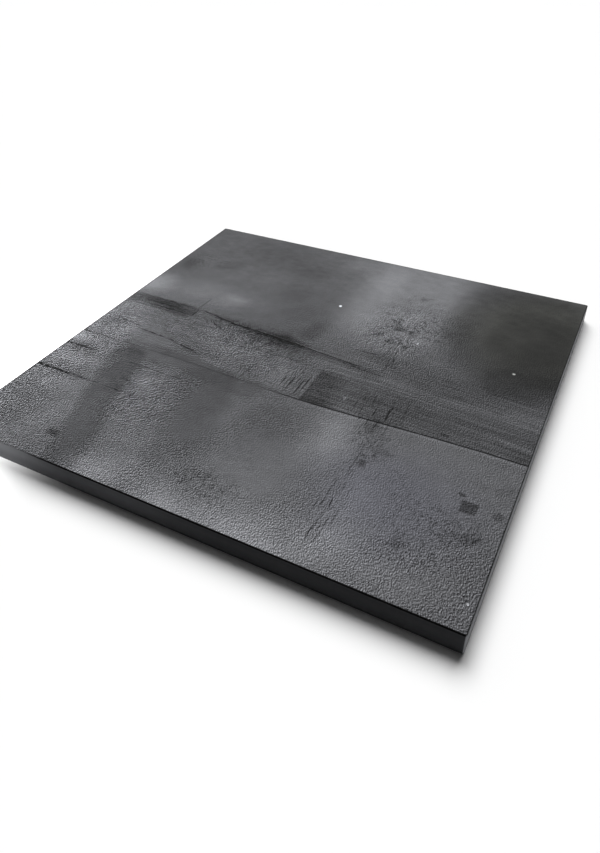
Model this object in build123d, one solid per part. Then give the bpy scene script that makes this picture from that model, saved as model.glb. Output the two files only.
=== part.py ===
from build123d import *
import os

# Square plate of hot-rolled mild steel, 12 x 12 x 1/2 inch, cut to size and lightly deburred.
#
# The plate is one piece of rolled stock, so it is one solid. It lies flat: X runs along the
# front edge, Y runs from the front edge to the back edge, and Z is the thickness. The origin
# is the centre of the bottom face. All sizes are in millimetres.

INCH = 25.4

# Stock size
length = 12 * INCH  # along X
width = 12 * INCH  # along Y
thickness = 0.5 * INCH  # along Z

# Edge finish left by cutting and deburring
corner_radius = 1.0  # the four upright corners, seen from above
top_edge_radius = 0.6  # round the top face, where the cut rolls the edge over
bottom_edge_radius = 0.4  # round the bottom face, where the burr is only knocked off


def cut_blank():
    """The blank as it is cut: a square-edged slab that rests on Z = 0."""
    return Box(length, width, thickness, align=(Align.CENTER, Align.CENTER, Align.MIN))


def steel_plate():
    """The finished plate: its upright corners are broken, then the rim of each large face."""
    plate = cut_blank()
    plate = fillet(plate.edges().filter_by(Axis.Z), corner_radius)
    plate = fillet(plate.faces().sort_by(Axis.Z)[-1].edges(), top_edge_radius)
    plate = fillet(plate.faces().sort_by(Axis.Z)[0].edges(), bottom_edge_radius)
    return plate


os.makedirs("parts", exist_ok=True)
export_step(steel_plate(), "parts/steel_plate.step")
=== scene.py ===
"""Hot-rolled steel plate: its mill scale, its cut edges and a plain studio round it.

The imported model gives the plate's place and size. Lengths are in metres in the scene, and in
millimetres in the lists of marks on the plate, whose X and Y start at the plate's centre.
"""

import math

import bpy
from bpy.props import FloatProperty, FloatVectorProperty, IntProperty, PointerProperty
from mathutils import Matrix, Vector


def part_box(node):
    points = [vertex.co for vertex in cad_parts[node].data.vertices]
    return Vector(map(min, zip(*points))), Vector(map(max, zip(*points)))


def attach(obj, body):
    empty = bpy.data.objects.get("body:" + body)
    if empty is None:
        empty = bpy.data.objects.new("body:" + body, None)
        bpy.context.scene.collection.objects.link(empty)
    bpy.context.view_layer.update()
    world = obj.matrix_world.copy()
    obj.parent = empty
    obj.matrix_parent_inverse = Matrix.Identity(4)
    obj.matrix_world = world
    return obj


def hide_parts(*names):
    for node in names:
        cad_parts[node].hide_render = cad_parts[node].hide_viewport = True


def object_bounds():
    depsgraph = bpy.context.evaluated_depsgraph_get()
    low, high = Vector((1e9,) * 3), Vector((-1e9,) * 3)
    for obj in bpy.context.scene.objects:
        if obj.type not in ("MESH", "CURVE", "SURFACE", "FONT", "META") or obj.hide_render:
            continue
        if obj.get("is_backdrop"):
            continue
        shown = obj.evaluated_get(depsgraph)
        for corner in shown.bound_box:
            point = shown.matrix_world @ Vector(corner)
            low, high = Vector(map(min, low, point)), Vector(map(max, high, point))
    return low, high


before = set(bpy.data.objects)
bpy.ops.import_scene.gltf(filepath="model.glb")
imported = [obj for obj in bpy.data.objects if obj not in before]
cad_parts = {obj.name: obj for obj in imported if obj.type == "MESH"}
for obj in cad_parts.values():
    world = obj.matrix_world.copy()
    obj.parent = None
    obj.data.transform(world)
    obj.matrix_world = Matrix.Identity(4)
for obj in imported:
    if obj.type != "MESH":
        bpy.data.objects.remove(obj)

bl_info = {
    "name": "Hot-rolled steel plate",
    "version": (1, 0, 0),
    "blender": (4, 5, 0),
    "location": "3D View > Sidebar > Steel plate",
    "description": "Builds a square steel plate with mill scale, and the studio that it is shown in",
    "category": "Object",
}

CAD_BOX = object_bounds()
NODE = "steel_plate"
BODY = "root"
MM = 0.001

LOW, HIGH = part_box(NODE)
SIZE = HIGH - LOW
HALF_X, HALF_Y = SIZE.x / 2 / MM, SIZE.y / 2 / MM


# ---------------------------------------- node trees written as sums


class Link:
    """An output socket. A sum written on it adds Math nodes to its tree."""

    def __init__(self, tree, socket):
        self.tree = tree
        self.socket = socket

    def sum(self, operation, *values):
        return self.tree.add("ShaderNodeMath", {"operation": operation}, dict(enumerate(values)))

    def __add__(self, other):
        return self.sum("ADD", self, other)

    def __sub__(self, other):
        return self.sum("SUBTRACT", self, other)

    def __rsub__(self, other):
        return self.sum("SUBTRACT", other, self)

    def __mul__(self, other):
        return self.sum("MULTIPLY", self, other)

    def __truediv__(self, other):
        return self.sum("DIVIDE", self, other)

    def __pow__(self, other):
        return self.sum("POWER", self, other)

    def __lt__(self, other):
        return self.sum("LESS_THAN", self, other)

    def __gt__(self, other):
        return self.sum("GREATER_THAN", self, other)

    def __abs__(self):
        return self.sum("ABSOLUTE", self)

    def __round__(self):
        return self.sum("ROUND", self)

    __radd__ = __add__
    __rmul__ = __mul__

    def root(self):
        return self.sum("SQRT", self)

    def least(self, other):
        return self.sum("MINIMUM", self, other)

    def most(self, other):
        return self.sum("MAXIMUM", self, other)

    def ramp(self, start, end, low=0.0, high=1.0, smooth=True):
        """low where this is start, high where it is end, and between them in between."""
        settings = {"interpolation_type": "SMOOTHSTEP" if smooth else "LINEAR", "clamp": not smooth}
        return self.tree.add("ShaderNodeMapRange", settings, {0: self, 1: start, 2: end, 3: low, 4: high})


class Tree:
    """A shader or geometry tree that is being built."""

    def __init__(self, tree):
        self.tree = tree
        tree.nodes.clear()

    def add(self, kind, settings=None, sockets=None, out=0):
        """Adds a node, applies its settings, then fills its sockets with values or links."""
        node = self.tree.nodes.new(kind)
        for name, value in (settings or {}).items():
            setattr(node, name, value)
        for name, value in (sockets or {}).items():
            if isinstance(value, Link):
                self.tree.links.new(value.socket, node.inputs[name])
            else:
                node.inputs[name].default_value = value
        return Link(self, node.outputs[out])

    def vector(self, operation, a, b=None, scale=None, out=0):
        """A sum on vectors. scale is a number, for the SCALE operation."""
        sockets = {0: a}
        if b is not None:
            sockets[1] = b
        if scale is not None:
            sockets["Scale"] = scale
        return self.add("ShaderNodeVectorMath", {"operation": operation}, sockets, out)

    def combine(self, x, y, z):
        """A vector from its three parts."""
        return self.add("ShaderNodeCombineXYZ", None, {0: x, 1: y, 2: z})

    def split(self, vector):
        """The three parts of a vector."""
        first = self.add("ShaderNodeSeparateXYZ", None, {0: vector})
        outputs = first.socket.node.outputs
        return [Link(self, outputs[i]) for i in range(3)]

    def noise(self, place, pitch, detail=2.0, roughness=0.5, stretch=None, out=0):
        """Noise whose lumps are about a pitch apart. stretch makes them longer along X, Y and Z."""
        if stretch:
            place = self.vector("DIVIDE", place, stretch)
        sockets = {"Vector": place, "Scale": 1 / pitch, "Detail": detail, "Roughness": roughness}
        return self.add("ShaderNodeTexNoise", None, sockets, out)

    def cell_rims(self, place, pitch):
        """How far a place is from the rim of its cell, for cells about a pitch across."""
        sockets = {"Vector": place, "Scale": 1 / pitch}
        return self.add("ShaderNodeTexVoronoi", {"feature": "DISTANCE_TO_EDGE"}, sockets, "Distance")

    def mix(self, factor, a, b):
        """A colour between a and b."""
        return self.add("ShaderNodeMix", {"data_type": "RGBA"}, {0: factor, 6: a, 7: b}, 2)


# ---------------------------------------- marks on the top face
# Each place is in millimetres from the plate's centre. A turn is in degrees, anticlockwise
# from above. A tone is a step of display brightness, where the whole range is 255.

# Soft clouds in the scale, partly stains and partly painted light and reflection: x, y, half length, half width,
# turn, tone
STAIN_AND_LIGHT_CLOUDS = (
    # the pale tongue that comes in from the back edge
    (14, 122, 22, 40, 0, 12),
    (24, 68, 22, 28, 0, 12),
    (54, 48, 30, 24, 0, 8),
    (-18, 142, 20, 24, 0, 18),
    (45, 78, 16, 22, 0, 14),
    (76, 76, 14, 26, 0, -12),
    # the dark quarter at the back right
    (136, 70, 50, 70, 0, -24),
    (112, 98, 16, 10, 0, -8),
    (106, 78, 14, 26, 0, -9),
    (116, 140, 60, 22, 0, -10),
    (105, 12, 70, 24, 0, -20),
    # broad changes over the whole face, mostly painted sheen that is brighter towards the front
    (-30, -120, 150, 90, 0, 22),
    (-152, 0, 50, 60, 0, 20),
    (-45, -15, 40, 30, 0, 8),
    (-152, -100, 60, 80, 0, -26),
    (30, -140, 130, 24, 0, 18),
    (74, -112, 24, 50, 0, 10),
    # the left half, behind the seams
    (-150, 44, 26, 24, 0, 42),
    (-100, 46, 64, 24, 0, 18),
    (-78, 44, 16, 12, 0, 18),
    (-140, 80, 14, 18, 30, -20),
    (-110, 92, 18, 12, 15, -14),
    (-24, 58, 36, 60, 0, -10),
    (-45, 108, 30, 26, 0, -13),
    (-5, 38, 10, 18, 0, -14),
    (-80, 125, 60, 40, 0, -14),
    # round the seams
    (-124, 19, 34, 9, -3, -28),
    (-30, 14, 50, 11, -6, -26),
    (-22, 12, 20, 10, -6, -22),
    (35, 6, 30, 8, -6, -14),
    (44, 25, 20, 8, 0, -12),
    (-8, 26, 14, 12, 0, -16),
    (-66, -20, 32, 10, -8, -14),
    (-45, -30, 16, 8, 0, 12),
    (-4, -28, 24, 12, 0, 14),
    (-124, -22, 14, 24, 0, 14),
    (76, -22, 60, 14, 0, -8),
    (150, -33, 16, 8, 0, -18),
    (-137, -14, 18, 14, 0, -24),
    (-4, -16, 26, 12, 0, 14),
    (-30, -14, 62, 22, -4, 16),
    (34, -16, 28, 14, 0, 8),
    (-134, 13, 26, 10, 0, 14),
    (-75, -45, 16, 12, 0, 10),
    # in front of the long seam
    (-150, -43, 20, 8, 0, 36),
    (-136, -51, 14, 8, 15, -24),
    (-138, -66, 34, 11, 0, 24),
    (-130, -94, 30, 12, 0, 14),
    (-74, -64, 18, 20, 0, 20),
    (-60, -104, 16, 34, 0, 8),
    (50, -62, 24, 40, 0, 24),
    (-28, -92, 20, 60, 4, -12),
    (14, -76, 28, 36, 0, -8),
    (4, -130, 28, 14, 0, -12),
    (-14, -104, 14, 24, 0, -8),
    (-46, -136, 22, 16, 0, 10),
    (76, -136, 22, 16, 0, 9),
    (-132, -132, 20, 24, 0, -14),
    (-76, -74, 16, 14, 0, 8),
    (-45, 76, 26, 24, 0, -10),
    # the next three are painted sheen: the bright strip along the front edge, where the pebbles glint
    (-56, -150, 26, 22, 0, 34),
    (-6, -154, 30, 18, 0, 34),
    (44, -154, 46, 20, 0, 36),
    (104, -130, 60, 40, 0, 10),
    (66, -108, 18, 30, 0, -8),
    (67, -46, 7, 12, 10, -20),
)

# Smears with a clear rim, round ended: x, y, half length, half width, turn, tone, soft rim
SMEARS = (
    # the pale tongue and the dark quarter behind the seams
    (35, 104, 38, 74, 3, 30, 30),
    (58, 46, 26, 20, 10, 4, 10),
    (124, 90, 50, 68, 7, -24, 26),
    (136, 110, 36, 13, -4, -9, 16),
    (142, 32, 32, 16, 0, -10, 9),
    # the bar that comes in from the left edge
    (-130, 17, 36, 7, 0, -24, 4),
    # the band along the seam and the three streaks that hang from it
    (-62, -42, 56, 9, -4, -8, 7),
    (-89.5, -98, 11.5, 62, 16.9, -20, 8),
    (-72, -34, 12, 12, 10, -5, 8),
    (-30, -84, 18, 54, 18, -9, 12),
    (24, -94, 30, 44, 22, -5, 12),
)

# Spots where the scale is stained: x, y, half length, half width, turn, tone
SPOTS = (
    (127.5, -73.5, 2.2, 1.8, 0, -40),
    (147, -80.5, 4, 3.4, 0, -22),
    (138, -101, 9, 5, 35, -16),
    (109, -119, 5.5, 5, 0, -20),
    (73, -75, 3.4, 4, 0, -34),
    (80, -62, 9, 3.6, 0, -10),
    (-94, -132, 6, 4.5, 0, -36),
    (146, -62, 8, 5, 40, -8),
    (45, 62, 7, 3.4, 20, -36),
    (45, 44, 6, 3.4, 0, -34),
    (33, 50, 8, 2.2, 40, -34),
    (26, 45, 5, 2, 30, -18),
    (30, 78, 5, 2, 0, -14),
    (46, 108, 6, 4, 0, -12),
    (-55, -1, 2.4, 5, 0, -22),
    (-20, -8, 1.6, 4.5, 0, -20),
    (-47, 9, 3, 3, 0, -18),
    (105, -33, 4, 2, 0, -24),
)

# Fine lines, rolled in or scratched: x, y, half length, half width, turn, tone
LINES = (
    # the bar at the left and the two long lines that lead on from it
    (-122, 23, 30, 1.3, -1, -20),
    (-122, 17.5, 30, 0.9, 0, -24),
    (-122, 13.5, 30, 1.0, -0.5, -30),
    (-122, 11, 32, 0.8, 0, -24),
    (-94.5, 17, 0.7, 9, 0, -34),
    (-95.5, 32, 0.6, 13, -3, -18),
    (-72, 19, 30, 0.8, -9, -64),
    (-40, 15.5, 48, 0.8, -4.5, -74),
    (6, 11, 50, 0.8, -6, -60),
    (40, 5.5, 24, 0.8, -5, -26),
    (-56, 15.6, 50, 0.7, -7, -54),
    (-26, 17, 42, 0.6, -5, -22),
    (20, 8, 46, 0.6, -6, -22),
    (-72, 9.5, 9, 1.2, -22, -30),
    (34, 25, 14, 0.7, 2, -26),
    (-72, 21, 24, 0.6, -4, -30),
    (-20, 12.5, 30, 0.6, -7, -40),
    # the fainter ones lower down at the left
    (-134, -13, 24, 0.9, -9, -32),
    (-104, -19, 28, 0.8, -6, -40),
    (-74, -24, 20, 0.9, -14, -34),
    (-62, -6, 14, 0.8, -5, -20),
    (-34, -5, 12, 0.8, 4, -20),
    (-146, -37, 34, 0.9, 0, -30),
    (-146, -54, 30, 1.2, 0.5, -38),
    (-72, -55.5, 40, 0.8, -1, -30),
    (-140, -82.7, 46, 1.6, 0.5, -46),
    (-84, -82.8, 20, 0.9, 0.5, -18),
)

# Upright lines, straighter than the ones above: x, y, half length, half width, turn, tone
UPRIGHTS = (
    (0.5, -28, 0.6, 10, 3, -44),
    (3, -26, 0.5, 12, 2, -40),
    (5.5, -26, 0.7, 14, 2, -64),
    (9, -22, 0.5, 16, 1, -44),
    (12, -28, 0.7, 12, 1, -64),
    (14.5, -26, 0.5, 14, 0, -54),
    (70.5, -33, 0.5, 14, 3, -24),
    (74, -38, 0.5, 18, 3, -24),
    (53, 60, 0.7, 22, 2, -24),
    (51, 22, 0.6, 20, 4, -22),
    (53, 36, 0.7, 7, 18, 20),
    (69, -70, 0.6, 30, 1, -22),
    (70, -125, 0.6, 18, 1, -30),
    (74, -128, 0.5, 14, 0, -22),
    (79, -20, 0.5, 18, 4, -20),
    (-59, -72, 0.6, 14, 0, -18),
    (120, -125, 0.6, 12, -4, -18),
)

# Where small dark specks lie close together: x, y, half length, half width, turn
SPECKLED_AREAS = (
    (-46, 2, 62, 26, -6),
    (-40, 14, 50, 9, -6),
    (48, 70, 36, 62, 0),
    (0, -130, 36, 16, 0),
    (134, -102, 16, 12, 0),
    (-72, -72, 30, 26, 0),
    (70, -62, 16, 30, 0),
)

# Where larger ragged blotches lie, as the areas above
BLOTCHED_AREAS = (
    (-40, -2, 56, 26, -6),
    (50, 62, 30, 40, 0),
)

# Bright nicks in the scale: x, y, half length, half width, turn, tone
NICKS = (
    (-5.3, 72.5, 1.5, 1.9, 15, 170),
    (125.5, 43.5, 1.4, 1.3, 0, 150),
    (60.8, 50, 1.0, 1.8, 15, 60),
    (42, -27, 0.9, 2.2, 0, 50),
    (148.1, -136.8, 0.9, 0.9, 0, 90),
)

# Where the grain is smeared flat: x, y, half length, half width, turn
SMOOTH_AREAS = (
    (-90, -96, 13, 66, 16.9),
    (-62, -42, 60, 11, -4),
    (-28, -78, 20, 36, 16),
    (24, -100, 30, 34, 20),
    (-104, -22, 24, 14, 0),
)

# Where the skin is crazed, as the areas above
CRAZED_AREAS = (
    (-30, 0, 66, 30, -6),
    (50, 62, 46, 56, 0),
    (50, 56, 34, 34, 0),
    (-80, -66, 26, 22, 0),
    (-66, -100, 26, 30, 0),
    (-100, 6, 40, 30, 0),
    (72, -58, 18, 26, 0),
    (120, -110, 36, 40, 0),
    (10, -128, 30, 18, 0),
    (-132, 92, 24, 16, 20),
)

# Where short scratches run from front to back, as the areas above
SCRATCHED_AREAS = (
    (9, -24, 11, 17, 0),
    (-20, -22, 26, 16, 0),
    (66, -34, 20, 26, 0),
    (53, 34, 12, 30, 0),
    (70, -112, 10, 44, 0),
)

# Where the grain is deeper, as the areas above: the pale tongue first
GRAINY_AREAS = (
    (52, 60, 56, 62, 0),
    (-40, -8, 84, 34, -5),
    (-70, -76, 46, 46, 0),
    (-142, -50, 40, 100, 0),
)

# Single areas, as those above
CALMER_AREA = (110, -70, 90, 60, 0)  # fainter grain near the right edge
OLIVE_AREA = (132, 96, 70, 84, 0)  # the olive bloom at the back right
BLUE_AREA = (96, -92, 64, 56, 0)  # where the scale is thin, near the front
AREA_HARDNESS = 0.3  # the share of an area's radius over which it stays whole
MARK_HARDNESS = 0.35  # the same for spots and nicks

UPRIGHT_SHARE = 1.3  # how much stronger the upright lines are than their tones say
SQUARE_STAIN = (132.6, -81)  # the middle of a small square stain near the right edge
STAIN_HALF = 4.1  # half its side
STAIN_RIM = 0.6
STAIN_SHARE = 0.13  # how much darker it is, out of 1

GRAIN_REACH = 0.3  # how wide each grain's lit side is
GRAIN_LIGHT = (-0.64, 0.77)  # the way to the light that the grains show, in their own turned places
GRAIN_TURN = 27  # the grains are drawn out along a line that is turned this much from Y
GRAIN_DRAW = 1.5  # how much longer they are along it

SEAM_Y = -37.4  # the long seam, at both ends
SEAM_BOW = -3.4  # how much nearer the front edge it is at its middle
SEAM_MIDDLE = 22
SEAM_REACH = 110
BLOCK_START = 17.2  # the left side of the dark block that lies behind the seam

# How deep each part of the relief is cut, in millimetres
SWELL_DEPTH = 0.20
LUMP_DEPTH = 0.08
SKIN_DEPTH = 0.05
STEP_DEPTH = 0.10
CHIP_DEPTH = 0.2
HOLLOW_DEPTH = 0.10
PIT_DEPTH = 0.8  # for a spot as dark as the whole display range

DISPLAY_RANGE = 255
DISPLAY_GAMMA = 2.2
BASE_SHARE = 0.7  # how much of a tone the base colour takes on, which suits the studio's lamps
DARKEST_BASE = 0.001
ARRIS_SHADE_SHARE = 0.95  # how much of the tone the painted shade line along the arris takes away
RIGHT_EDGE_LIGHT = 0.40  # painted light: how much paler the right cut edge is, out of 1
EDGE_SHEEN = 0.02


# ---------------------------------------- patterns


def seen_from(tree, place, x, y, turn, half_length=1, half_width=1):
    """Places seen from a mark: its middle at zero, its length along X, its half sizes as one."""
    sockets = {"Vector": place, "Location": (x, y, 0), "Rotation": (0, 0, math.radians(turn))}
    sockets["Scale"] = (half_length, half_width, 1e6)
    return tree.add("ShaderNodeMapping", {"vector_type": "TEXTURE"}, sockets)


def patch(tree, place, mark, hardness=0.0, amount=None):
    """A mark's tone, whole at its middle and fading to nothing at its rim."""
    x, y, half_length, half_width, turn = mark[:5]
    local = seen_from(tree, place, x, y, turn, half_length, half_width)
    inside = tree.add("ShaderNodeTexGradient", {"gradient_type": "SPHERICAL"}, {"Vector": local}, "Fac")
    return inside.ramp(0.0, 1 - hardness, 0.0, mark[5] / DISPLAY_RANGE if amount is None else amount)


def smear(tree, place, mark):
    """A round-ended bar's tone. Its rim is soft over the width that ends the mark."""
    x, y, half_length, half_width, turn, tone, rim = mark
    bend = min(half_length, half_width)
    local = seen_from(tree, place, x, y, turn)
    core = (half_length - bend, half_width - bend, 0)
    beyond = tree.vector("SUBTRACT", tree.vector("ABSOLUTE", local), core)
    away = tree.vector("LENGTH", tree.vector("MAXIMUM", beyond, (0, 0, 0)), out=1)
    return away.ramp(bend + rim / 2, bend - rim / 2, 0.0, tone / DISPLAY_RANGE)


def marks(tree, place, group, hardness=0.0, amount=None):
    """The tones of a group of marks, added up."""
    total = 0.0
    for mark in group:
        total = patch(tree, place, mark, hardness, amount) + total
    return total


def drifted(tree, place, pitch, reach):
    """Places pushed about by noise, so that a mark's rim wanders by up to half the reach."""
    push = tree.vector("SUBTRACT", tree.noise(place, pitch, out=1), (0.5, 0.5, 0.5))
    return tree.vector("ADD", place, tree.vector("MULTIPLY", push, (reach, reach, 0)))


def plate_places(tree):
    """Places on the plate in millimetres, with the plate's centre at zero."""
    coords = tree.add("ShaderNodeTexCoord", None, None, "Object")
    return tree.vector("SCALE", coords, scale=1 / MM)


def grain_places(tree, place):
    """Places on which a round grain comes out drawn, as the rolling left it."""
    turn = (0, 0, math.radians(GRAIN_TURN))
    sockets = {"Vector": place, "Rotation": turn, "Scale": (1, GRAIN_DRAW, 1)}
    return tree.add("ShaderNodeMapping", {"vector_type": "TEXTURE"}, sockets)


def pebbles(tree, place, pitch):
    """Height of the scale's pebbled skin, from about 0 to 1: low lumps with creases between."""
    bent = drifted(tree, place, pitch, pitch * 0.8)
    lumps = tree.noise(place, pitch, 3, 0.6)
    creases = abs(tree.noise(bent, pitch * 1.7, 1.5, 0.5) * 2 - 1).ramp(0.0, 0.3)
    domes = tree.cell_rims(bent, pitch * 0.9).ramp(0.0, 0.4)
    return lumps * 0.6 + creases * 0.22 + domes * 0.18


def lit_side(tree, place, pitch, reach, away):
    """About 1 on the side of each grain that faces the main lamp and -1 on the side behind it."""
    shifted = tree.vector("ADD", place, (away[0] * reach, away[1] * reach, 0))
    near, far = (tree.noise(spot, pitch, 1.5, 0.5).ramp(0.36, 0.64) for spot in (place, shifted))
    return near - far


def new_material(name):
    material = bpy.data.materials.new(name)
    material.use_nodes = True
    return material, Tree(material.node_tree)


def close_material(tree, surface, height, depth):
    """Adds the shader with its surface's values or links, its bump and the output."""
    bump = tree.add("ShaderNodeBump", None, {"Height": height, "Distance": depth, "Strength": 1.0})
    shader = tree.add("ShaderNodeBsdfPrincipled", None, {**surface, "Normal": bump})
    output = tree.tree.nodes.new("ShaderNodeOutputMaterial")
    tree.tree.links.new(shader.socket, output.inputs["Surface"])


def as_light(tone):
    """Turns display brightness, 0 to 1, into the share of the scale's colour that shows it."""
    return ((tone.most(0) ** DISPLAY_GAMMA) * BASE_SHARE).most(DARKEST_BASE)


def behind_seam(x, y):
    """Millimetres that a place is behind the long seam, which bows towards the front edge."""
    return y - abs(x - SEAM_MIDDLE).ramp(0, SEAM_REACH, SEAM_BOW, 0) - SEAM_Y


def long_seam(tree, place, x, y):
    """The long seam and the rolled lines behind it: what they add to the tone and to the height."""
    ripple = tree.noise(place, 9, 2, 0.5, (2.5, 1, 1)) * 1.2 - 0.6
    behind = behind_seam(x, y) - ripple * 0.5
    line = abs(behind - 0.3).ramp(0.8, 0.1) * x.ramp(-20, 20, 0.25, 1.0)
    # glint: a thin painted highlight in front of the seam
    glint = abs(behind + 1.4).ramp(1.6, 0.2) * x.ramp(0, 40)
    front_side = behind.ramp(0.4, -0.6)
    block = x.ramp(BLOCK_START, BLOCK_START + 0.8) * behind.ramp(-0.2, 0.5) * y.ramp(-4, -9)
    block_core = x.ramp(42, 28)
    sloping = tree.add("ShaderNodeMapping", None, {"Vector": place, "Rotation": (0, 0, math.radians(3))})
    rolled = tree.noise(sloping, 1.3, 3, 0.7, (30, 1, 1)) - 0.5
    rolled = rolled * y.ramp(30, 10) * behind.ramp(-1, 1)
    tone = rolled * x.ramp(-30, 30, 0.5, 1.0) * 0.36 - line * 0.24 + glint * 0.045
    tone = tone + front_side * x.ramp(0, 40) * 0.02 - block * (0.05 + block_core * 0.08)
    height = rolled * 0.06 + front_side * 0.10 - line * 0.10
    return tone, height


def marked_tone(tree, place, wandering):
    """The tones of the top face's marks, added up. The clouds among them are partly painted light and
    reflection.
    """
    drifting = drifted(tree, place, 18, 7)
    ragged = drifted(tree, place, 3.6, 4)
    steady = drifted(tree, place, 7, 1.6)
    straight = drifted(tree, place, 12, 1.0)
    tone = marks(tree, wandering, STAIN_AND_LIGHT_CLOUDS)
    for mark in SMEARS:
        tone = smear(tree, drifting, mark) + tone
    tone = tone + marks(tree, ragged, SPOTS, MARK_HARDNESS)
    wear = tree.noise(place, 2.6, 2, 0.7, (1.6, 1, 1)).ramp(0.34, 0.62, 0.5, 3.0)
    tone = tone + marks(tree, steady, LINES) * wear
    tone = tone + marks(tree, straight, UPRIGHTS) * UPRIGHT_SHARE
    tone = tone + marks(tree, place, NICKS, MARK_HARDNESS)
    stain_x, stain_y = (abs(part - middle) for part, middle in zip(tree.split(steady), SQUARE_STAIN))
    stain = stain_x.most(stain_y).ramp(STAIN_HALF + STAIN_RIM, STAIN_HALF - STAIN_RIM)
    return tone - stain * STAIN_SHARE


def worn_skin(tree, place, drawn, wandering, soft_noise, y):
    """How much the wandering cracks, short scratches, specks and blotches darken the tone."""
    crazed = marks(tree, wandering, CRAZED_AREAS, AREA_HARDNESS, 1.0)
    where = soft_noise.ramp(0.48, 0.58, 0, 0.35) * y.ramp(60, 10) + crazed
    darker = abs(tree.noise(place, 6, 4, 0.62) - 0.5).ramp(0.022, 0.0) * where * 0.14
    scratches = tree.noise(place, 1.3, 2, 0.6, (1, 11, 1)).ramp(0.56, 0.70)
    specks = tree.noise(drawn, 2.6, 3, 0.7, (1.4, 1, 1)).ramp(0.55, 0.70)
    blotches = tree.noise(drawn, 6, 4, 0.75, (1.7, 1, 1)).ramp(0.52, 0.64)
    patterns = (
        (scratches, SCRATCHED_AREAS, 0.22),
        (specks, SPECKLED_AREAS, 0.16),
        (blotches, BLOTCHED_AREAS, 0.13),
    )
    for pattern, areas, share in patterns:
        darker = darker + pattern * marks(tree, wandering, areas, AREA_HARDNESS, 1.0) * share
    return darker


def grain_gain(tree, wandering, soft_noise, smooth, x, y):
    """How strongly the grain shows: faint at the back, plain in the middle, strong at the front."""
    gain = y.ramp(85, 15, 0.14, 0.8) + y.ramp(-60, -150, 0, 0.35)
    gain = gain + marks(tree, wandering, GRAINY_AREAS, AREA_HARDNESS, 1.1)
    gain = gain * x.ramp(20, -50, 1, 1.5) * (1 - patch(tree, wandering, CALMER_AREA, 0.2, 0.28))
    return gain * (1 - smooth * 0.6) * soft_noise.ramp(0.3, 0.65, 0.75, 1.25)


def painted_arris_shade(x, y):
    """How dark the painted shade line along the arris is, from 0 to 1. It is darkest along the front."""
    rim_x = (HALF_X - abs(x)).ramp(0.9, 0.6)
    rim_y = (HALF_Y - abs(y)).ramp(0.9, 0.6)
    return (rim_x * 0.6).most(rim_y * y.ramp(0, -1, 0.4, 1.0) * x.ramp(-105, -75, 0.2, 1.0))


def top_scale(settings):
    """Mill scale with the top face's clouds, seams, stains and scratches, and painted light and shade: the
    grains' lit sides, darker gaps between pebbles, a glint along the seam, a shade line along the arris and part
    of the clouds.
    """
    material, tree = new_material("mill_scale_top")
    place = plate_places(tree)
    x, y, _ = tree.split(place)
    wandering = drifted(tree, place, 34, 14)
    soft_noise = tree.noise(place, 26, 4, 0.6)
    mottle = tree.noise(place, 5.5, 4, 0.65, (1.5, 1, 1))
    smooth = marks(tree, wandering, SMOOTH_AREAS, 0.55, 1.0).least(1.0)
    gain = grain_gain(tree, wandering, soft_noise, smooth, x, y)

    # the grain, drawn out by the rolling, with each grain's lit and shaded sides painted into the tone
    drawn = grain_places(tree, place)
    grit = tree.noise(drawn, 0.7, 1, 0.5)
    grain = lit_side(tree, drawn, settings.grain_pitch / MM, GRAIN_REACH, GRAIN_LIGHT)
    skin = pebbles(tree, drawn, settings.pebble_pitch / MM)

    seam_tone, seam_height = long_seam(tree, place, x, y)
    tone = marked_tone(tree, place, wandering) + seam_tone + settings.scale_tone / DISPLAY_RANGE
    tone = tone - worn_skin(tree, place, drawn, wandering, soft_noise, y)
    tone = tone + (soft_noise - 0.5) * 0.07 + (mottle - 0.5) * y.ramp(70, 110, 0.08, 0.12)
    # painted shade in the gaps between the pebbles, and each grain's painted lit and shaded sides
    tone = tone + (skin - 0.62) * gain * settings.pebble_gap_shade
    tone = tone + grain * gain * settings.grain_light_and_shade + (grit - 0.5) * gain * 0.2
    # a painted shade line along the arris
    tone = tone * (1 - painted_arris_shade(x, y) * ARRIS_SHADE_SHARE)

    base = tree.vector("SCALE", settings.scale_colour, scale=as_light(tone))
    olive = patch(tree, wandering, OLIVE_AREA, 0.35, 1.0)
    blue = patch(tree, wandering, BLUE_AREA, 0.1, 0.5)
    base = tree.mix(olive, base, tree.vector("MULTIPLY", base, settings.olive_tint))
    base = tree.mix(blue, base, tree.vector("MULTIPLY", base, settings.blue_tint))

    surface = {
        "Base Color": base,
        "Roughness": 0.42 + (soft_noise - 0.5) * 0.16 + (grit - 0.5) * 0.1 + smooth * 0.04,
        "Metallic": settings.metallic,
        "Specular IOR Level": settings.sheen,
    }
    height = skin * gain * settings.pebble_height / MM + grit * gain * 0.08 + seam_height
    close_material(tree, surface, height, MM)
    return material


def under_scale(settings):
    """The same scale on the underside, with none of the top's marks."""
    material, tree = new_material("mill_scale_under")
    place = plate_places(tree)
    soft_noise = tree.noise(place, 40, 4, 0.6)
    grain = tree.noise(place, 2.2, 3, 0.6, (20, 1, 1))
    skin = pebbles(tree, place, settings.pebble_pitch / MM)
    tone = settings.scale_tone / DISPLAY_RANGE + (soft_noise - 0.5) * 0.35
    # painted shade in the gaps between the pebbles
    tone = tone + (skin - 0.55) * 0.14 + (grain - 0.5) * 0.06
    surface = {
        "Base Color": tree.vector("SCALE", settings.scale_colour, scale=as_light(tone)),
        "Roughness": 0.46 + (soft_noise - 0.5) * 0.2,
        "Metallic": settings.metallic,
    }
    close_material(tree, surface, skin * 0.10 + grain * 0.03, MM)
    return material


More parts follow.
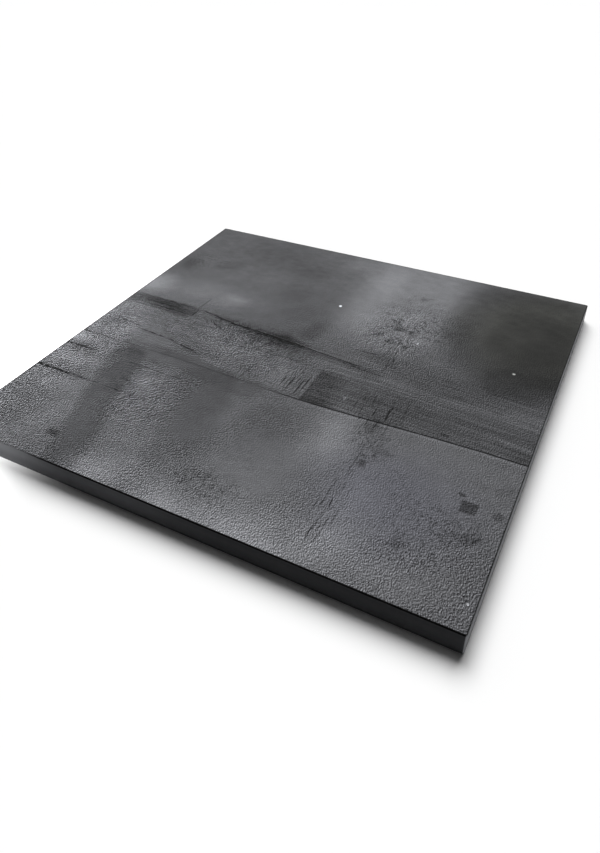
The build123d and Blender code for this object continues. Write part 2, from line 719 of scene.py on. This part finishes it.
def cut_edge(settings):
    """The dark oxidised skin of a cut edge, with a painted shade line along the top, and painted light on the
    right edge and at the left end of the front edge.
    """
    material, tree = new_material("cut_edge")
    place = plate_places(tree)
    x, y, z = tree.split(place)
    top = SIZE.z / MM
    right = x.ramp(HALF_X - 0.9, HALF_X - 0.4)
    front = y.ramp(0.9 - HALF_Y, 0.4 - HALF_Y)
    lit_end = x.ramp(-66, -100) * front  # where the small lamp shines
    streak = tree.noise(place, 1.6, 3, 0.6, (1, 1, 9))
    soft_noise = tree.noise(place, 22, 3, 0.6)
    # a painted shade line along the top arris, left out where the small lamp shines and on the right edge
    rim = (z + (soft_noise - 0.5) * 0.5).ramp(top - 0.9, top - 0.5)
    tone = settings.edge_tone / DISPLAY_RANGE + (soft_noise - 0.5) * 0.03 + (streak - 0.5) * 0.02
    tone = tone + z.ramp(10, 2, 0, 0.14, False) * front * (1 - lit_end)
    # painted light: the front edge is lighter towards its left end, where the small lamp shines
    tone = tone + (x.ramp(40, -40, 0, 0.10) + abs(x + 96).ramp(34, 0) * 0.08) * front + 0.02
    tone = tone + z.ramp(4, 10, 0, 0.05) * front
    # painted light on the right edge
    tone = tone + right * RIGHT_EDGE_LIGHT
    tone = tone * (1 - rim * (1 - lit_end) * (1 - right) * ARRIS_SHADE_SHARE)
    surface = {
        "Base Color": tree.vector("SCALE", settings.scale_colour, scale=as_light(tone)),
        "Roughness": 0.42 + rim * 0.3 + (streak - 0.5) * 0.08,
        "Metallic": 0.0,
        "Specular IOR Level": EDGE_SHEEN,
    }
    close_material(tree, surface, streak * 0.02 + soft_noise * 0.05, MM)
    return material


# ---------------------------------------- the plate's mesh

FINE_CELLS = 282  # squares along each side of the top face
COARSE_STEP = 3  # fine squares to one square of the underside
ARRIS_CELLS = COARSE_STEP  # fine squares across the rounded rim
ROWS = 7  # rows up each side
FOOT_ROWS = 1
BAKE_MAP = "OFBake"
SIDE = "plate_side"
TOP, UNDER, EDGE = 0, 1, 2


def field_input(tree, name):
    """A named input of the geometry tree, as a link."""
    group = next(n for n in tree.tree.nodes if n.bl_idname == "NodeGroupInput")
    return Link(tree, group.outputs[name])


def plate_tree(sizes):
    """Geometry Nodes that make the whole plate: a closed shell, its rounded rims and its relief."""
    group = bpy.data.node_groups.new("steel_plate_shell", "GeometryNodeTree")
    tree = Tree(group)
    group.interface.new_socket("Geometry", in_out="OUTPUT", socket_type="NodeSocketGeometry")
    inputs = {}
    for name, kind, value in sizes:
        socket = group.interface.new_socket(name, in_out="INPUT", socket_type=kind)
        inputs[name] = (socket.identifier, value)
    tree.tree.nodes.new("NodeGroupInput")
    value = {name: field_input(tree, name) for name, _, _ in sizes}

    shell = plate_shell(tree)
    shell = name_sides(tree, shell)
    shell = bake_places(tree, shell)
    shell = shape_plate(tree, shell, value)
    shell = tree.add("GeometryNodeSetShadeSmooth", None, {0: shell, "Shade Smooth": True})
    shell = tree.add("GeometryNodeRealizeInstances", None, {0: shell})
    side = tree.add("GeometryNodeInputNamedAttribute", {"data_type": "INT"}, {"Name": SIDE})
    for number, name in ((TOP, "Top finish"), (UNDER, "Under finish"), (EDGE, "Edge finish")):
        same = {"data_type": "INT", "operation": "EQUAL"}
        chosen = tree.add("FunctionNodeCompare", same, {2: side, 3: number})
        sockets = {0: shell, "Selection": chosen, "Material": value[name]}
        shell = tree.add("GeometryNodeSetMaterial", None, sockets)
    output = tree.tree.nodes.new("NodeGroupOutput")
    tree.tree.links.new(shell.socket, output.inputs[0])
    return group, inputs


def plate_shell(tree):
    """A closed box, measured in squares: fine on top and at the sides, coarse underneath."""
    half = FINE_CELLS / 2
    corners = FINE_CELLS + 1
    counts = {"Vertices X": corners, "Vertices Y": corners, "Vertices Z": ROWS + 1}
    box = tree.add("GeometryNodeMeshCube", None, {"Size": (FINE_CELLS, FINE_CELLS, ROWS), **counts})
    box = tree.add("GeometryNodeTransform", None, {0: box, "Translation": (half, half, ROWS / 2)})
    upward = tree.split(tree.add("GeometryNodeInputNormal"))[2]
    sockets = {0: box, "Selection": upward < -0.5}
    box = tree.add("GeometryNodeDeleteGeometry", {"domain": "FACE"}, sockets)
    x, y, z = tree.split(tree.add("GeometryNodeInputPosition"))
    coarse_x, coarse_y = (round(part / COARSE_STEP) * COARSE_STEP for part in (x, y))
    snapped = tree.combine(coarse_x, coarse_y, z)
    box = tree.add("GeometryNodeSetPosition", None, {0: box, "Selection": z < 0.5, "Position": snapped})
    across = FINE_CELLS // COARSE_STEP + 1
    sockets = {"Size X": FINE_CELLS, "Size Y": FINE_CELLS, "Vertices X": across, "Vertices Y": across}
    under = tree.add("GeometryNodeMeshGrid", None, sockets)
    under = tree.add("GeometryNodeTransform", None, {0: under, "Translation": (half, half, 0)})
    under = tree.add("GeometryNodeFlipFaces", None, {0: under})
    both = tree.tree.nodes.new("GeometryNodeJoinGeometry")
    for part in (under, box):
        tree.tree.links.new(part.socket, both.inputs[0])
    joined = Link(tree, both.outputs[0])
    return tree.add("GeometryNodeMergeByDistance", None, {0: joined, "Distance": 0.1})


def face_normal(tree):
    """The normal of the face that a point or a corner belongs to, in three parts."""
    normal = tree.add("GeometryNodeInputNormal")
    settings = {"data_type": "FLOAT_VECTOR", "domain": "FACE"}
    return tree.split(tree.add("GeometryNodeFieldOnDomain", settings, {0: normal}))


def name_sides(tree, shell):
    """Writes on each face whether it is top, underside or edge."""
    upward = face_normal(tree)[2]
    number = (upward < 0.5) * EDGE - (upward < -0.5) * (EDGE - UNDER)
    settings = {"data_type": "INT", "domain": "FACE"}
    sockets = {0: shell, "Name": SIDE, "Value": number}
    return tree.add("GeometryNodeStoreNamedAttribute", settings, sockets)


def bake_places(tree, shell):
    """Lays the faces out flat for the bake. The top face takes most of the map."""
    margin = 0.008
    top_share = 0.75
    under_share = 0.2
    strip = top_share * SIZE.z / SIZE.x
    x, y, z = tree.split(tree.add("GeometryNodeInputPosition"))
    along_x, along_y, up = x / FINE_CELLS, y / FINE_CELLS, z / ROWS
    nx, ny, nz = face_normal(tree)
    first_strip = top_share + 2 * margin
    faces = (
        (nz > 0.5, along_x * top_share + margin, along_y * top_share + margin),
        (nz < -0.5, (1 - along_x) * under_share + first_strip, along_y * under_share + margin),
        (ny < -0.5, along_x * top_share + margin, up * strip + first_strip),
        (ny > 0.5, (1 - along_x) * top_share + margin, up * strip + first_strip + strip + margin),
        (nx < -0.5, (1 - along_y) * top_share + margin, up * strip + first_strip + 2 * (strip + margin)),
        (nx > 0.5, along_y * top_share + margin, up * strip + first_strip + 3 * (strip + margin)),
    )
    settings = {"data_type": "FLOAT2", "domain": "CORNER"}
    for chosen, across, upwards in faces:
        spot = tree.combine(across, upwards, 0)
        sockets = {0: shell, "Selection": chosen, "Name": BAKE_MAP, "Value": spot}
        shell = tree.add("GeometryNodeStoreNamedAttribute", settings, sockets)
    return shell


def spread(number, cells, rim_cells, whole, rim):
    """Squares to metres from one end: narrow squares across each rim, even ones between."""
    first = number.ramp(0, rim_cells, 0, rim, False)
    middle = number.ramp(rim_cells, cells - rim_cells, 0, whole - 2 * rim, False)
    last = number.ramp(cells - rim_cells, cells, 0, rim, False)
    return first + middle + last


def shape_plate(tree, shell, value):
    """Turns squares into metres, rounds the corners and rims, and sinks the relief into the faces."""
    length, width, thickness = value["Length"], value["Width"], value["Thickness"]
    rim, corner, foot = value["Rim radius"], value["Corner radius"], value["Foot radius"]
    cell_x, cell_y, row = tree.split(tree.add("GeometryNodeInputPosition"))
    x = spread(cell_x, FINE_CELLS, ARRIS_CELLS, length, rim) - length / 2
    y = spread(cell_y, FINE_CELLS, ARRIS_CELLS, width, rim) - width / 2

    # how far into the top rim or the foot a point is, 0 to 1
    rim_rows = ARRIS_CELLS
    rise = row.ramp(ROWS - rim_rows, ROWS, 0, 1, False)
    fall = row.ramp(FOOT_ROWS, 0, 0, 1, False)
    upright = rise.most(fall)

    # the outline's corner centre that a point belongs to, and how far out from it the point is
    inner_x = x.least(length / 2 - corner).most(corner - length / 2)
    inner_y = y.least(width / 2 - corner).most(corner - width / 2)
    out_x, out_y = x - inner_x, y - inner_y
    out = abs(out_x).most(abs(out_y))
    straight = (out_x * out_x + out_y * out_y).root()
    outward_x, outward_y = out_x / straight.most(1e-9), out_y / straight.most(1e-9)
    inset = out.ramp(corner - rim, corner, 0, 1, False)
    reach = inset.most(upright)
    diagonal = (inset * inset + upright * upright).root()
    pull = reach / diagonal.most(1e-6)
    pull = pull + (diagonal < 1e-5)
    radial = out - inset * (1 - pull) * rim
    z = foot + row.ramp(FOOT_ROWS, ROWS - rim_rows, 0, thickness - rim - foot, False)
    z = z + rise * pull * rim - fall * pull * foot

    # relief: everything is cut into the plate, so the plate never grows
    place = tree.vector("SCALE", tree.combine(x, y, z), scale=1 / MM)
    seeded = tree.vector("ADD", place, tree.combine(value["Seed"] * 37.0, value["Seed"] * 11.0, 0))
    flat = inset.ramp(1.0, 0.0)
    swell = tree.noise(seeded, 70, 1, 0.5)
    lumps = tree.noise(seeded, 5.5, 2, 0.6)
    skin = tree.noise(seeded, 2.6, 1, 0.5)
    px, py, _ = tree.split(place)
    step = behind_seam(px, py).ramp(-0.7, 0.9)
    sunk = swell * SWELL_DEPTH + lumps * LUMP_DEPTH + skin * SKIN_DEPTH + step * STEP_DEPTH
    sunk = sunk + pits(tree, place)
    top_sink = sunk * flat * (row > ROWS - 0.5) * value["Relief"] * MM
    chip_noise = tree.noise(seeded, 3.2, 2, 0.6)
    chips = chip_noise.ramp(0.58, 0.74) * (rise * inset).ramp(0.0, 0.5)
    chips = chips * (0.35 + px.ramp(40, 150) * py.ramp(-140, -150) * 0.65)
    chip_depth = chips * CHIP_DEPTH * MM * value["Relief"]
    hollow = tree.noise(seeded, 24, 2, 0.5) * HOLLOW_DEPTH * MM
    hollow = hollow * upright.ramp(1.0, 0.0) * (inset > 0.999)
    z = z - top_sink - chip_depth
    radial = radial - chip_depth - hollow
    where = tree.combine(inner_x + outward_x * radial, inner_y + outward_y * radial, z)
    return tree.add("GeometryNodeSetPosition", None, {0: shell, "Position": where})


def pits(tree, place):
    """Millimetres that the stained spots have eaten into the top face."""
    depth = 0.0
    x, y, _ = tree.split(place)
    for middle_x, middle_y, half_length, half_width, _, tone in SPOTS:
        across = (x - middle_x) / half_length
        along = (y - middle_y) / half_width
        deepest = -tone / DISPLAY_RANGE * PIT_DEPTH
        depth = (across * across + along * along).ramp(1.0, 0.2, 0.0, deepest) + depth
    return depth


def drop_empty_slot(mesh):
    """Takes out the unused first material and moves every face's number down to match."""
    numbers = [face.material_index - 1 for face in mesh.polygons]
    mesh.materials.pop(index=0)
    mesh.polygons.foreach_set("material_index", numbers)


def build_plate(context):
    """Makes the plate's mesh and its finishes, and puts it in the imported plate's place."""
    settings = context.scene.steel_plate
    finishes = {
        "Top finish": top_scale(settings),
        "Under finish": under_scale(settings),
        "Edge finish": cut_edge(settings),
    }
    lengths = {
        "Length": SIZE.x,
        "Width": SIZE.y,
        "Thickness": SIZE.z,
        "Rim radius": settings.rim_radius,
        "Corner radius": settings.corner_radius,
        "Foot radius": settings.foot_radius,
        "Relief": settings.relief,
    }
    sizes = [(name, "NodeSocketFloat", length) for name, length in lengths.items()]
    sizes.append(("Seed", "NodeSocketInt", settings.seed))
    sizes += [(name, "NodeSocketMaterial", finish) for name, finish in finishes.items()]
    group, inputs = plate_tree(sizes)
    maker = bpy.data.objects.new("plate_maker", bpy.data.meshes.new("plate_maker"))
    context.scene.collection.objects.link(maker)
    modifier = maker.modifiers.new("steel_plate_shell", "NODES")
    modifier.node_group = group
    for identifier, value in inputs.values():
        modifier[identifier] = value
    context.view_layer.update()
    graph = context.evaluated_depsgraph_get()
    mesh = bpy.data.meshes.new_from_object(maker.evaluated_get(graph), depsgraph=graph)
    maker.modifiers.remove(modifier)
    bpy.data.objects.remove(maker)
    mesh.name = "hot_rolled_plate"
    drop_empty_slot(mesh)
    mesh.attributes.remove(mesh.attributes[SIDE])
    mesh.transform(Matrix.Translation(((LOW.x + HIGH.x) / 2, (LOW.y + HIGH.y) / 2, LOW.z)))
    plate = bpy.data.objects.new("hot_rolled_plate", mesh)
    context.scene.collection.objects.link(plate)
    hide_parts(NODE)
    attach(plate, BODY)


# ---------------------------------------- the studio

FLOOR_POINTS = 96
LAMP_DISTANCE = 3
CORNER_LAMP = (-0.288, -0.317, 0.138)
CORNER_LAMP_AIM = (-0.2106, -0.1407, 0.004)
CORNER_LAMP_SHAPE = {"spot_size": math.radians(45), "spot_blend": 0.93, "shadow_soft_size": 0.037}


def build_floor(context, studio):
    """A wide pale disc for the plate to lie on."""
    material, tree = new_material("studio_floor")
    place = plate_places(tree)
    speckle = tree.noise(place, 300, 2, 0.5)
    tint = tree.vector("SCALE", studio.floor_colour, scale=0.99 + speckle * 0.02)
    surface = {"Base Color": tint, "Roughness": 0.9, "Specular IOR Level": 0.0}
    close_material(tree, surface, speckle, 0.0)
    mesh = bpy.data.meshes.new("studio_floor")
    rim = []
    for number in range(FLOOR_POINTS):
        turn = 2 * math.pi / FLOOR_POINTS * number
        rim.append((studio.floor_radius * math.cos(turn), studio.floor_radius * math.sin(turn), LOW.z))
    mesh.from_pydata(rim, [], [tuple(range(FLOOR_POINTS))])
    mesh.materials.append(material)
    floor = bpy.data.objects.new("studio_floor", mesh)
    context.scene.collection.objects.link(floor)
    floor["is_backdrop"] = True


def aimed(place, target):
    """The matrix of a lamp or camera at a place that looks at a target."""
    place, target = Vector(place), Vector(target)
    return Matrix.Translation(place) @ (target - place).to_track_quat("-Z", "Y").to_matrix().to_4x4()


def add_lamp(context, name, kind, matrix, energy, **settings):
    """Puts a lamp of that kind in the scene, where the matrix says."""
    lamp = bpy.data.lights.new(name, kind)
    lamp.energy = energy
    for key, value in settings.items():
        setattr(lamp, key, value)
    made = bpy.data.objects.new(name, lamp)
    made.matrix_world = matrix
    context.scene.collection.objects.link(made)


def direction(azimuth, elevation):
    """The way to something at that azimuth, anticlockwise from +X, and elevation, in degrees."""
    a, e = math.radians(azimuth), math.radians(elevation)
    return Vector((math.cos(a) * math.cos(e), math.sin(a) * math.cos(e), math.sin(e)))


def build_lamps(context, studio):
    """Two wide soft lamps, behind and at the left, and a small one at the near left corner."""
    wide = (
        ("sky_lamp", studio.key_azimuth, studio.key_elevation, studio.key_power, studio.key_spread),
        ("side_lamp", studio.side_azimuth, studio.side_elevation, studio.side_power, studio.side_spread),
    )
    for name, azimuth, elevation, power, spread in wide:
        place = direction(azimuth, elevation) * LAMP_DISTANCE
        add_lamp(context, name, "SUN", aimed(place, (0, 0, 0)), power, angle=math.radians(spread))
    corner = aimed(CORNER_LAMP, CORNER_LAMP_AIM)
    add_lamp(context, "corner_lamp", "SPOT", corner, studio.corner_power, **CORNER_LAMP_SHAPE)


def build_world(context, studio):
    """White where the camera sees it, and a faint glow where it lights the plate."""
    world = bpy.data.worlds.new("studio_world")
    world.use_nodes = True
    tree = Tree(world.node_tree)
    seen = tree.add("ShaderNodeLightPath", None, None, "Is Camera Ray")
    glow = studio.sky_glow
    colour = tree.mix(seen, (glow, glow, glow, 1), (1, 1, 1, 1))
    background = tree.add("ShaderNodeBackground", None, {"Color": colour, "Strength": 1.0})
    output = tree.tree.nodes.new("ShaderNodeOutputWorld")
    tree.tree.links.new(background.socket, output.inputs["Surface"])
    context.scene.world = world
    context.scene.view_settings.view_transform = "Standard"


def build_camera(context, studio):
    """The camera, given as an aim on the floor, a direction, a distance and a lens."""
    camera = bpy.data.cameras.new("studio_camera")
    camera.lens = studio.lens
    camera.shift_x, camera.shift_y = studio.shift
    camera.clip_start, camera.clip_end = 0.01, 100
    made = bpy.data.objects.new("studio_camera", camera)
    back = direction(studio.camera_azimuth - 90, studio.camera_elevation)
    aim = Vector((*studio.camera_aim, LOW.z))
    turn = aimed(aim + back * studio.camera_distance, aim)
    made.matrix_world = turn @ Matrix.Rotation(math.radians(studio.camera_roll), 4, "Z")
    context.scene.collection.objects.link(made)
    context.scene.camera = made


# ---------------------------------------- what a user can change


class SteelPlateSettings(bpy.types.PropertyGroup):
    """Sizes and colours of the plate."""

    rim_radius: FloatProperty(
        name="Rim radius", description="Rounding round the top face", default=0.6 * MM, unit="LENGTH"
    )
    corner_radius: FloatProperty(
        name="Corner radius", description="Rounding of the upright corners", default=1.0 * MM, unit="LENGTH"
    )
    foot_radius: FloatProperty(
        name="Foot radius", description="Rounding round the underside", default=0.4 * MM, unit="LENGTH"
    )
    relief: FloatProperty(
        name="Relief",
        description="How much of the scale's relief is cut into the mesh",
        default=1.0,
        min=0,
        max=2,
    )
    pebble_pitch: FloatProperty(
        name="Pebble pitch",
        description="Distance between the pebbles of the scale",
        default=1.15 * MM,
        unit="LENGTH",
    )
    pebble_height: FloatProperty(
        name="Pebble height", description="How far the pebbles stand up", default=0.35 * MM, unit="LENGTH"
    )
    pebble_gap_shade: FloatProperty(
        name="Pebble contrast", description="How much darker the gaps between pebbles are", default=0.12
    )
    grain_pitch: FloatProperty(
        name="Grain pitch",
        description="Distance between the scale's finest grains",
        default=0.78 * MM,
        unit="LENGTH",
    )
    grain_light_and_shade: FloatProperty(
        name="Grain contrast", description="How strongly the finest grains show", default=0.23
    )
    seed: IntProperty(name="Seed", description="Another number gives another relief", default=3)
    scale_tone: FloatProperty(
        name="Scale tone", description="Display brightness of plain scale, out of 255", default=92
    )
    edge_tone: FloatProperty(
        name="Edge tone", description="Display brightness of the cut edges, out of 255", default=48
    )
    sheen: FloatProperty(
        name="Sheen", description="Strength of the scale's sheen", default=0.02, min=0, max=1
    )
    metallic: FloatProperty(
        name="Metallic", description="How metallic the scale is", default=0.12, min=0, max=1
    )
    scale_colour: FloatVectorProperty(
        name="Scale colour",
        description="Hue of the scale",
        subtype="COLOR",
        size=3,
        default=(0.93, 0.943, 1.0),
    )
    olive_tint: FloatVectorProperty(
        name="Olive tint",
        description="Tint of the dark quarter",
        subtype="COLOR",
        size=3,
        default=(1.0, 1.0, 0.86),
    )
    blue_tint: FloatVectorProperty(
        name="Blue tint",
        description="Tint where the scale is thin",
        subtype="COLOR",
        size=3,
        default=(0.98, 0.98, 1.14),
        max=2,
    )


class StudioSettings(bpy.types.PropertyGroup):
    """The studio's floor, lamps and camera."""

    floor_colour: FloatVectorProperty(
        name="Floor colour",
        description="Colour of the floor",
        subtype="COLOR",
        size=3,
        default=(0.93, 0.93, 0.93),
    )
    floor_radius: FloatProperty(
        name="Floor radius", description="Radius of the floor", default=8.0, unit="LENGTH"
    )
    key_power: FloatProperty(
        name="Sky power", description="Strength of the soft lamp behind the plate", default=3.77
    )
    key_azimuth: FloatProperty(
        name="Sky azimuth", description="Degrees anticlockwise from +X", default=109
    )
    key_elevation: FloatProperty(
        name="Sky elevation", description="Degrees above the floor", default=50.4
    )
    key_spread: FloatProperty(
        name="Sky spread", description="How wide the soft lamp looks, in degrees", default=45
    )
    side_power: FloatProperty(
        name="Side power", description="Strength of the soft lamp at the left", default=0.63
    )
    side_azimuth: FloatProperty(
        name="Side azimuth", description="Degrees anticlockwise from +X", default=145
    )
    side_elevation: FloatProperty(
        name="Side elevation", description="Degrees above the floor", default=43.7
    )
    side_spread: FloatProperty(
        name="Side spread", description="How wide the lamp looks, in degrees", default=62
    )
    corner_power: FloatProperty(
        name="Corner lamp power", description="Watts of the lamp at the left corner", default=23.5
    )
    sky_glow: FloatProperty(name="Glow", description="Light from all round", default=0.02)
    lens: FloatProperty(name="Lens", description="Focal length in millimetres", default=30.81)
    shift: FloatVectorProperty(
        name="Shift", description="Lens shift", size=2, default=(0.0356, -0.0923)
    )
    camera_aim: FloatVectorProperty(
        name="Aim",
        description="Point on the floor that the camera looks at",
        size=2,
        default=(-0.03417, 0.0175),
        unit="LENGTH",
    )
    camera_azimuth: FloatProperty(
        name="Camera azimuth", description="Degrees round from the front edge", default=29.54
    )
    camera_elevation: FloatProperty(
        name="Camera elevation", description="Degrees above the floor", default=33.38
    )
    camera_distance: FloatProperty(
        name="Camera distance", description="From the aim to the camera", default=0.50862, unit="LENGTH"
    )
    camera_roll: FloatProperty(
        name="Camera roll", description="Tilt of the camera, in degrees", default=-1.49
    )


class OBJECT_OT_steel_plate(bpy.types.Operator):
    """Build the steel plate with its mill scale and cut edges"""

    bl_idname = "object.steel_plate"
    bl_label = "Steel plate"

    def execute(self, context):
        build_plate(context)
        return {"FINISHED"}


class OBJECT_OT_plate_studio(bpy.types.Operator):
    """Build the floor, the lamps, the surroundings and the camera"""

    bl_idname = "object.plate_studio"
    bl_label = "Studio"

    def execute(self, context):
        studio = context.scene.plate_studio
        build_floor(context, studio)
        build_lamps(context, studio)
        build_world(context, studio)
        build_camera(context, studio)
        return {"FINISHED"}


class VIEW3D_PT_steel_plate(bpy.types.Panel):
    """Lists what the plate and its studio are made from."""

    bl_label = "Steel plate"
    bl_idname = "VIEW3D_PT_steel_plate"
    bl_space_type = "VIEW_3D"
    bl_region_type = "UI"
    bl_category = "Steel plate"

    def draw(self, context):
        scene = context.scene
        groups = ((scene.steel_plate, "object.steel_plate"), (scene.plate_studio, "object.plate_studio"))
        for group, operator in groups:
            box = self.layout.box()
            for name in group.__annotations__:
                box.prop(group, name)
            box.operator(operator)


CLASSES = (
    SteelPlateSettings,
    StudioSettings,
    OBJECT_OT_steel_plate,
    OBJECT_OT_plate_studio,
    VIEW3D_PT_steel_plate,
)


def register():
    for made in CLASSES:
        bpy.utils.register_class(made)
    bpy.types.Scene.steel_plate = PointerProperty(type=SteelPlateSettings)
    bpy.types.Scene.plate_studio = PointerProperty(type=StudioSettings)


def unregister():
    del bpy.types.Scene.plate_studio
    del bpy.types.Scene.steel_plate
    for made in reversed(CLASSES):
        bpy.utils.unregister_class(made)


def main():
    """Builds the plate and its studio."""
    register()
    bpy.ops.object.steel_plate()
    bpy.ops.object.plate_studio()
    boxes = {"cad": [list(corner) for corner in CAD_BOX], "visual": [list(corner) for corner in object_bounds()]}


if __name__ == "__main__":
    main()
